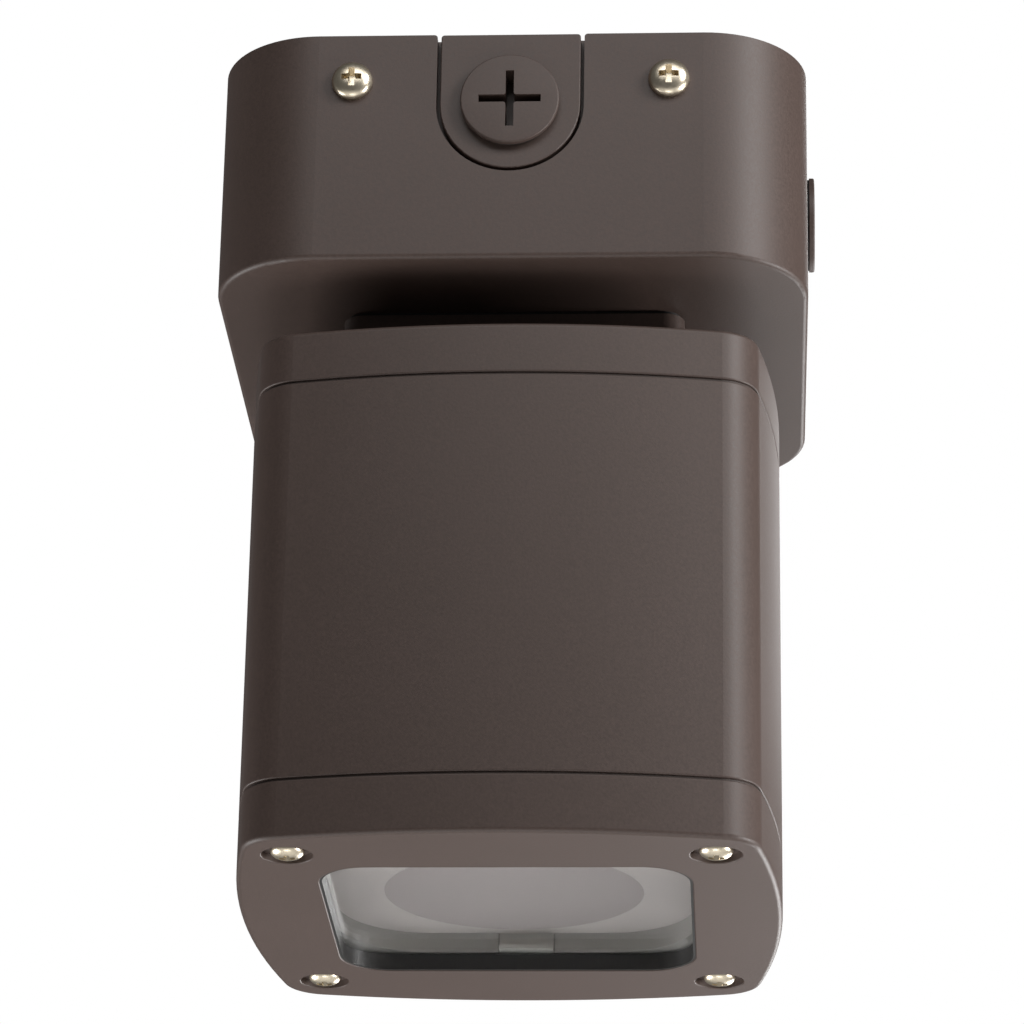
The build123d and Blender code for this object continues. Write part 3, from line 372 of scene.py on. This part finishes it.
def frosted_silicone():
    """Moulded optical silicone with a frosted face: milky and soft, a little darker than the plate."""
    return soft_skin("frosted_silicone", "#b3abaa", "#bab2b1", 0.5, 0.12, 0.6)


def white_solder_mask():
    """White solder mask on the aluminium LED board: thin gloss paint over fine tracks."""
    return soft_skin("white_solder_mask", "#dedcd6", "#ebeae5", 0.35, 0.1, 0.6)


def phosphor_silicone():
    """Yellow phosphor in silicone on each emitter: matt and grainy."""
    return soft_skin("phosphor_silicone", "#d8a53a", "#e9bf5a", 0.5, 0.3, 0.25)


def gap_pad():
    """Soft ceramic-filled pad between board and heat sink: blue grey and putty-like."""
    return soft_skin("gap_pad", "#7a8597", "#8893a3", 0.75, 0.3, 0.5)


def black_polycarbonate():
    """Driver's case, moulded in black polycarbonate with a spark-eroded texture."""
    return soft_skin("black_polycarbonate", "#1b1b1d", "#262628", 0.5, 0.5, 0.35)


def white_nylon():
    """Natural nylon of the terminal block and connector: off white and slightly waxy."""
    return soft_skin("white_nylon", "#d9d6cc", "#e4e1d8", 0.45, 0.15, 0.7)


def lead_insulation(name, dark, light):
    """Extruded PVC on a lead: even colour with a low gloss."""
    return soft_skin(name, dark, light, 0.4, 0.1, 1.2)


def tempered_glass():
    """Clear tempered glass with polished faces: all but invisible, with a pale reflection."""
    glass, shader, place = finish_of(
        "tempered_glass",
        Base_Color=(1.0, 1.0, 1.0, 1.0),
        IOR=1.5,
        Transmission_Weight=1.0,
    )
    dust = add_node(glass, "ShaderNodeTexNoise", {"Vector": place, "Scale": per_mm(3), "Detail": 4.0})
    smear = add_node(
        glass,
        "ShaderNodeMapRange",
        {"Value": dust.outputs["Fac"], "From Min": 0.4, "To Min": 0.0, "To Max": 0.03},
    )
    join(glass, smear.outputs["Result"], shader.inputs["Roughness"])
    return glass


def studio_paint():
    """Matt white paint on the studio's floor, with the faint unevenness of a roller."""
    paint, shader, place = finish_of("studio_paint", Roughness=0.8)
    roller = add_node(paint, "ShaderNodeTexNoise", {"Vector": place, "Scale": per_mm(60), "Detail": 2.0})
    tone = add_node(
        paint,
        "ShaderNodeMixRGB",
        {"Fac": roller.outputs["Fac"], "Color1": linear("#e6e5e3"), "Color2": linear("#ebeae8")},
    )
    join(paint, tone.outputs["Color"], shader.inputs["Base Color"])
    return paint


finishes = {
    "bronze_powder_coat": bronze_powder_coat(),
    "stainless_screw": stainless_steel(),
    "zinc_screw": zinc_plated_steel(),
    "seal_rubber": epdm_rubber(),
    "silicone_seal": silicone_rubber(),
    "grey_frame": grey_polyester(),
    "white_reflector": white_enamel(),
    "optic_silicone": frosted_silicone(),
    "clear_glass": tempered_glass(),
    "spring_steel": spring_steel(),
    "cast_aluminium": cast_aluminium(),
    "circuit_board": white_solder_mask(),
    "led_phosphor": phosphor_silicone(),
    "thermal_pad": gap_pad(),
    "driver_case": black_polycarbonate(),
    "terminal_plastic": white_nylon(),
    "brass_clamp": brass(),
    "green_lead": lead_insulation("green_insulation", "#1f6b3a", "#2a7d47"),
    "white_lead": lead_insulation("white_insulation", "#d8d6d0", "#e6e4de"),
    "black_lead": lead_insulation("black_insulation", "#161617", "#222223"),
    "red_lead": lead_insulation("red_insulation", "#a31d1a", "#b52a24"),
}
seam_finish = brown_epdm()
seam_gaskets = ("cap_gasket", "bezel_gasket")


def dress_nodes():
    """Gives each node of the model the finish of its slot, and the seam gaskets their own."""
    for part in frame["record"]["subparts"]:
        node = frame["nodes"][part["node"]]
        node.data.materials.clear()
        in_seam = part["node"] in seam_gaskets
        node.data.materials.append(seam_finish if in_seam else finishes[part["material_slot"]])


def turned(name, profile, around, radius_at=None):
    """A closed mesh turned about Z from a profile of radius and height, from its foot up.

    The first and last points lie on the axis. radius_at changes the radius by angle and height.
    """
    corners = []
    for radius, height in profile[1:-1]:
        for step in range(around):
            angle = 2 * math.pi * step / around
            reach = radius_at(radius, height, angle) if radius_at else radius
            corners.append((reach * math.cos(angle), reach * math.sin(angle), height))
    foot, top = len(corners), len(corners) + 1
    corners += [(0, 0, profile[0][1]), (0, 0, profile[-1][1])]
    faces = []
    rings = len(profile) - 2
    for ring in range(rings - 1):
        for step in range(around):
            after = (step + 1) % around
            low, high = ring * around, (ring + 1) * around
            faces.append((low + step, low + after, high + after, high + step))
    last = (rings - 1) * around
    for step in range(around):
        after = (step + 1) % around
        faces.append((after, step, foot))
        faces.append((last + step, last + after, top))
    mesh = bpy.data.meshes.new(name)
    mesh.from_pydata([Vector(corner) * MM for corner in corners], [], faces)
    return mesh


def stacked(name, rings):
    """A closed mesh through rings of as many corners each, from the lowest up, with flat ends."""
    around = len(rings[0])
    corners = [Vector(corner) for ring in rings for corner in ring]
    faces = [tuple(reversed(range(around))), tuple(range(len(corners) - around, len(corners)))]
    for low in range(0, len(corners) - around, around):
        for step in range(around):
            after = (step + 1) % around
            faces.append((low + step, low + after, low + around + after, low + around + step))
    mesh = bpy.data.meshes.new(name)
    mesh.from_pydata(corners, [], faces)
    return mesh


def tapered_bar(length, foot_length, width, top, foot):
    """Corners and faces of a bar along X that shortens towards its foot."""
    corners = [
        (x * reach / 2, y * width / 2, height)
        for reach, height in ((foot_length, foot), (length, top))
        for x, y in ((-1, -1), (1, -1), (1, 1), (-1, 1))
    ]
    faces = [(3, 2, 1, 0), (4, 5, 6, 7), (0, 1, 5, 4), (1, 2, 6, 5), (2, 3, 7, 6), (3, 0, 4, 7)]
    return corners, faces


def cross_cutter(name, bars):
    """One cutter made of several bars, each turned about Z by its own angle."""
    corners, faces = [], []
    for angle, (bar_corners, bar_faces) in bars:
        start = len(corners)
        turn = Matrix.Rotation(math.radians(angle), 3, "Z")
        corners += [turn @ Vector(corner) * MM for corner in bar_corners]
        faces += [tuple(start + corner for corner in face) for face in bar_faces]
    mesh = bpy.data.meshes.new(name)
    mesh.from_pydata(corners, [], faces)
    return mesh


def cut(mesh, cutter_mesh):
    """The mesh less the cutter, as a new mesh."""
    body = bpy.data.objects.new("body", mesh)
    cutter = bpy.data.objects.new("cutter", cutter_mesh)
    for thing in (body, cutter):
        bpy.context.scene.collection.objects.link(thing)
    boolean = body.modifiers.new("recess", "BOOLEAN")
    boolean.operation = "DIFFERENCE"
    boolean.solver = "EXACT"
    boolean.use_self = True
    boolean.object = cutter
    graph = bpy.context.evaluated_depsgraph_get()
    result = bpy.data.meshes.new_from_object(body.evaluated_get(graph))
    for thing in (body, cutter):
        bpy.data.objects.remove(thing)
    return result


def thread_wave(pitch, depth, start, end):
    """A radius that follows a rounded screw thread between two heights, and fades at each end."""

    def radius_at(radius, height, angle):
        if not start < height < end:
            return radius
        turn = (height / pitch - angle / (2 * math.pi)) % 1
        fade = min(1, (height - start) / pitch, (end - height) / pitch)
        return radius - depth * fade * (0.5 + 0.5 * math.cos(2 * math.pi * turn))

    return radius_at


def spread(start, end, step):
    """Heights from start to end in even steps near the size asked for."""
    count = max(1, round(abs(end - start) / step))
    return [start + (end - start) * place / count for place in range(count + 1)]


def screw_mesh(name, screw):
    """A pan-head screw with a tapered cross recess and a rolled thread, its seat at the origin."""
    head, height, shank = screw["head"] / 2, screw["height"], screw["shank"] / 2
    pitch, length = screw["pitch"], screw["length"]
    profile = [(0, -length), (shank * tip_share, -length)]
    profile += [
        (shank, level) for level in spread(-length + shank * tip_rise_share, 0, pitch / thread_steps)
    ]
    profile.append((head * head_seat_share, 0))
    for step in range(1, head_steps):
        angle = math.pi / 2 * step / head_steps
        reach = head * math.cos(angle) ** (2 / head_shape)
        rise = height * math.sin(angle) ** (2 / head_shape)
        profile.append((reach, rise))
    profile.append((0, height))
    wave = thread_wave(pitch, pitch * thread_depth_share, -length, -pitch)
    body = turned(name, profile, screw_steps, wave)
    top, foot = height + overrun, height * (1 - recess_depth_share)
    bar = tapered_bar(
        screw["head"] * recess_top_share,
        screw["head"] * recess_foot_share,
        screw["head"] * recess_width_share,
        top,
        foot,
    )
    centre = screw["head"] * recess_centre_share
    square = tapered_bar(centre, centre * recess_centre_foot_share, centre, top, foot)
    return cut(body, cross_cutter("recess", [(0, bar), (90, bar), (45, square)]))


def plug_mesh(name, head, thread, length):
    """A closure plug with a cross slot and a helical thread. Its head's face is at the origin."""
    under = -plug_head_thickness
    profile = [(0, -length), (thread - plug_tip_bevel, -length), (thread, -length + plug_tip_bevel)]
    levels = spread(-length + plug_thread_start, under - plug_thread_stop, plug_pitch / plug_thread_steps)
    profile += [(thread, level) for level in levels]
    groove = thread - plug_relief
    profile += [(groove, under - plug_relief_height), (groove, under), (head, under)]
    for step in range(plug_edge_steps + 1):
        angle = math.pi / 2 * step / plug_edge_steps
        profile.append(
            (head - plug_edge + plug_edge * math.cos(angle), plug_edge * math.sin(angle) - plug_edge)
        )
    profile.append((0, 0))
    wave = thread_wave(plug_pitch, plug_pitch * thread_depth_share, -length, under - plug_neck_gap)
    body = turned(name, profile, plug_steps, wave)
    bar = tapered_bar(plug_slot_length, plug_slot_length, plug_slot_width, overrun, -plug_slot_depth)
    square = tapered_bar(
        plug_slot_centre, plug_slot_centre, plug_slot_centre, overrun, -plug_slot_depth
    )
    return cut(body, cross_cutter("slot", [(0, bar), (90, bar), (45, square)]))


def add_piece(name, mesh, node, slot, body):
    """Dresses a mesh and puts it in place of a node of the model."""
    mesh.materials.clear()
    mesh.materials.append(finishes[slot])
    mesh.shade_smooth()
    mesh.set_sharp_from_angle(angle=math.radians(crease_angle))
    piece = bpy.data.objects.new(name, mesh)
    bpy.context.scene.collection.objects.link(piece)
    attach(piece, body)
    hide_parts(node)


def place_piece(name, mesh, node, slot, body, place, axis):
    """Puts a piece with its +Z along axis, in place of a node of the model."""
    upright = Vector((0, 0, 1))
    side = upright.cross(axis) if abs(axis.z) < 0.5 else Vector((1, 0, 0))
    turn = Matrix((side, axis.cross(side), axis)).transposed()
    mesh.transform(Matrix.Translation(place) @ turn.to_4x4())
    add_piece(name, mesh, node, slot, body)


def add_cover_screws():
    """Four bright screws in the front and rear walls of the canopy."""
    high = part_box("cover_screws")[1]
    head, height = m5_screw["head"] / 2 * MM, m5_screw["height"] * MM
    level = high.z - head
    for row, out in (("front", -1), ("rear", 1)):
        for column, side in (("left", -1), ("right", 1)):
            seat = Vector((side * (high.x - head), out * (high.y - height), level))
            mesh = screw_mesh("cover_screw", m5_screw)
            name = f"cover_screw_{row}_{column}"
            axis = Vector((0, out, 0))
            place_piece(name, mesh, "cover_screws", "stainless_screw", "canopy_light", seat, axis)


def add_bezel_screws():
    """Four bright screws in the counterbores of the bezel."""
    low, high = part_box("bezel_screws")
    head, height = m4_screw["head"] / 2 * MM, m4_screw["height"] * MM
    for row, y in (("front", low.y + head), ("rear", high.y - head)):
        for column, x in (("left", low.x + head), ("right", high.x - head)):
            mesh = screw_mesh("bezel_screw", m4_screw)
            name = f"bezel_screw_{row}_{column}"
            seat = Vector((x, y, low.z + height))
            axis = Vector((0, 0, -1))
            place_piece(name, mesh, "bezel_screws", "stainless_screw", "canopy_light", seat, axis)


def add_plugs():
    """A threaded plug in each of the four conduit hubs."""
    turns = [joint for joint in frame["joints"] if joint["name"].endswith("_plug_turn")]
    for joint in turns:
        side = joint["name"].replace("_plug_turn", "")
        node = side + "_closure_plug"
        low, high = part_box(node)
        axis = Vector(joint["axis"])
        centre, reach = (low + high) / 2, (high - low) / 2
        length = 2 * abs(reach.dot(axis)) / MM
        head = reach.z / MM
        thread = plug_thread_radius(node, centre, axis)
        face = centre + axis * abs(reach.dot(axis))
        mesh = plug_mesh(side + "_plug", head, thread, length)
        place_piece(side + "_plug", mesh, node, "bronze_powder_coat", joint["child"], face, axis)


def plug_thread_radius(node, centre, axis):
    """Radius of the plug's thread: the reach of its points on the inner half of its length."""
    reach = 0
    for corner in frame["nodes"][node].data.vertices:
        offset = corner.co - centre
        along = offset.dot(axis)
        if along < 0:
            reach = max(reach, (offset - along * axis).length)
    return reach / MM


def add_optic():
    """The oval optic: a soft low dome on the plate, which hides the hole's edge under its lip."""
    low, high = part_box("optic_lens")
    plate_low, plate_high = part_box("reflector_plate")
    middle, half = (low + high) / 2, (high - low) / 2
    dome = plate_low.z - low.z - optic_lip_thickness * MM
    rim = plate_low.z - optic_lip_thickness * MM

    def oval(inset, level):
        reach = [half.x - (optic_flange + inset) * MM, half.y - (optic_flange + inset) * MM]
        turns = [2 * math.pi * step / oval_steps for step in range(oval_steps)]
        return [
            (middle.x + reach[0] * math.cos(turn), middle.y + reach[1] * math.sin(turn), level)
            for turn in turns
        ]

    rings = []
    for step in range(dome_steps + 1):
        share = 1 - step / dome_steps
        inset = (optic_flat + optic_lip) * share - optic_lip
        rings.append(oval(inset, rim - dome * (1 - (1 - share) ** 2)))
    film = glass_air * MM
    tray = high.z - optic_tray_depth * MM
    rings += [
        oval(-optic_lip, plate_low.z - film),
        oval(0, plate_low.z - film),
        oval(0, plate_high.z + film),
        oval(-optic_flange, plate_high.z + film),
        oval(-optic_flange, high.z),
        oval(optic_tray_wall - optic_flange, high.z),
        oval(optic_tray_wall - optic_flange, tray),
    ]
    add_piece("optic", stacked("optic", rings), "optic_lens", "optic_silicone", "canopy_light")


def add_glass():
    """The glass pane, with ground edges and a film of air above it."""
    low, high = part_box("lens_glass")

    def outline(inset, level):
        corner = (glass_corner - inset) * MM
        corners = []
        for quarter, (x, y) in enumerate(((1, 1), (-1, 1), (-1, -1), (1, -1))):
            centre = (x * (high.x - glass_corner * MM), y * (high.y - glass_corner * MM))
            for step in range(glass_corner_steps + 1):
                angle = math.pi / 2 * (quarter + step / glass_corner_steps)
                corners.append(
                    (centre[0] + corner * math.cos(angle), centre[1] + corner * math.sin(angle), level)
                )
        return corners

    top, arris = high.z - glass_air * MM, glass_arris * MM
    rings = [
        outline(glass_arris, low.z),
        outline(0, low.z + arris),
        outline(0, top - arris),
        outline(glass_arris, top),
    ]
    add_piece("glass_pane", stacked("glass_pane", rings), "lens_glass", "clear_glass", "canopy_light")


def light_box(name, place, target, sides, power):
    """A soft box that faces a target."""
    data = bpy.data.lights.new(name, "AREA")
    data.shape = "RECTANGLE"
    data.size, data.size_y = sides
    data.energy = power
    lamp = bpy.data.objects.new(name, data)
    bpy.context.scene.collection.objects.link(lamp)
    lamp.location = place
    lamp.rotation_mode = "QUATERNION"
    lamp.rotation_quaternion = (Vector(target) - Vector(place)).to_track_quat("-Z", "Y")


def add_studio():
    """A pale floor well below the light, a white surround and the soft boxes."""
    scene = bpy.context.scene
    half = floor_size / 2
    mesh = bpy.data.meshes.new("floor")
    corners = [(x * half, y * half, floor_level) for x, y in ((-1, -1), (1, -1), (1, 1), (-1, 1))]
    mesh.from_pydata(corners, [], [(0, 1, 2, 3)])
    mesh.materials.append(studio_paint())
    floor = bpy.data.objects.new("floor", mesh)
    scene.collection.objects.link(floor)
    world = bpy.data.worlds.new("surround")
    world.use_nodes = True
    world.node_tree.nodes.clear()
    soft = add_node(world, "ShaderNodeBackground", {"Strength": surround_strength})
    plain = add_node(world, "ShaderNodeBackground", {"Strength": 1.0})
    for light in (soft, plain):
        light.inputs["Color"].default_value = (1, 1, 1, 1)
    seen = add_node(world, "ShaderNodeLightPath").outputs["Is Camera Ray"]
    mixed = add_node(
        world,
        "ShaderNodeMixShader",
        {0: seen, 1: soft.outputs["Background"], 2: plain.outputs["Background"]},
    )
    add_node(world, "ShaderNodeOutputWorld", {"Surface": mixed.outputs["Shader"]})
    scene.world = world
    for name, (place, target, sides, power) in soft_boxes.items():
        light_box(name, place, target, sides, power)
    scene.view_settings.view_transform = "Standard"


def add_camera():
    """A long lens at the photograph's viewing angle."""
    data = bpy.data.cameras.new("camera")
    data.sensor_width = sensor_width
    data.lens = focal_pixels * sensor_width / image_side
    data.clip_start = nearest_seen * MM
    camera = bpy.data.objects.new("camera", data)
    bpy.context.scene.collection.objects.link(camera)
    ahead = Vector((
        math.sin(camera_turn) * math.cos(camera_rise),
        math.cos(camera_turn) * math.cos(camera_rise),
        math.sin(camera_rise),
    ))
    right = Vector((math.cos(camera_turn), -math.sin(camera_turn), 0))
    up = right.cross(ahead)
    rolled_right = math.cos(camera_roll) * right + math.sin(camera_roll) * up
    rolled_up = math.cos(camera_roll) * up - math.sin(camera_roll) * right
    turn = Matrix((rolled_right, rolled_up, -ahead)).transposed()
    camera.matrix_world = Matrix.Translation(camera_place) @ turn.to_4x4()
    bpy.context.scene.camera = camera


add_camera()
dress_nodes()
add_cover_screws()
add_bezel_screws()
add_plugs()
add_optic()
add_glass()
add_studio()
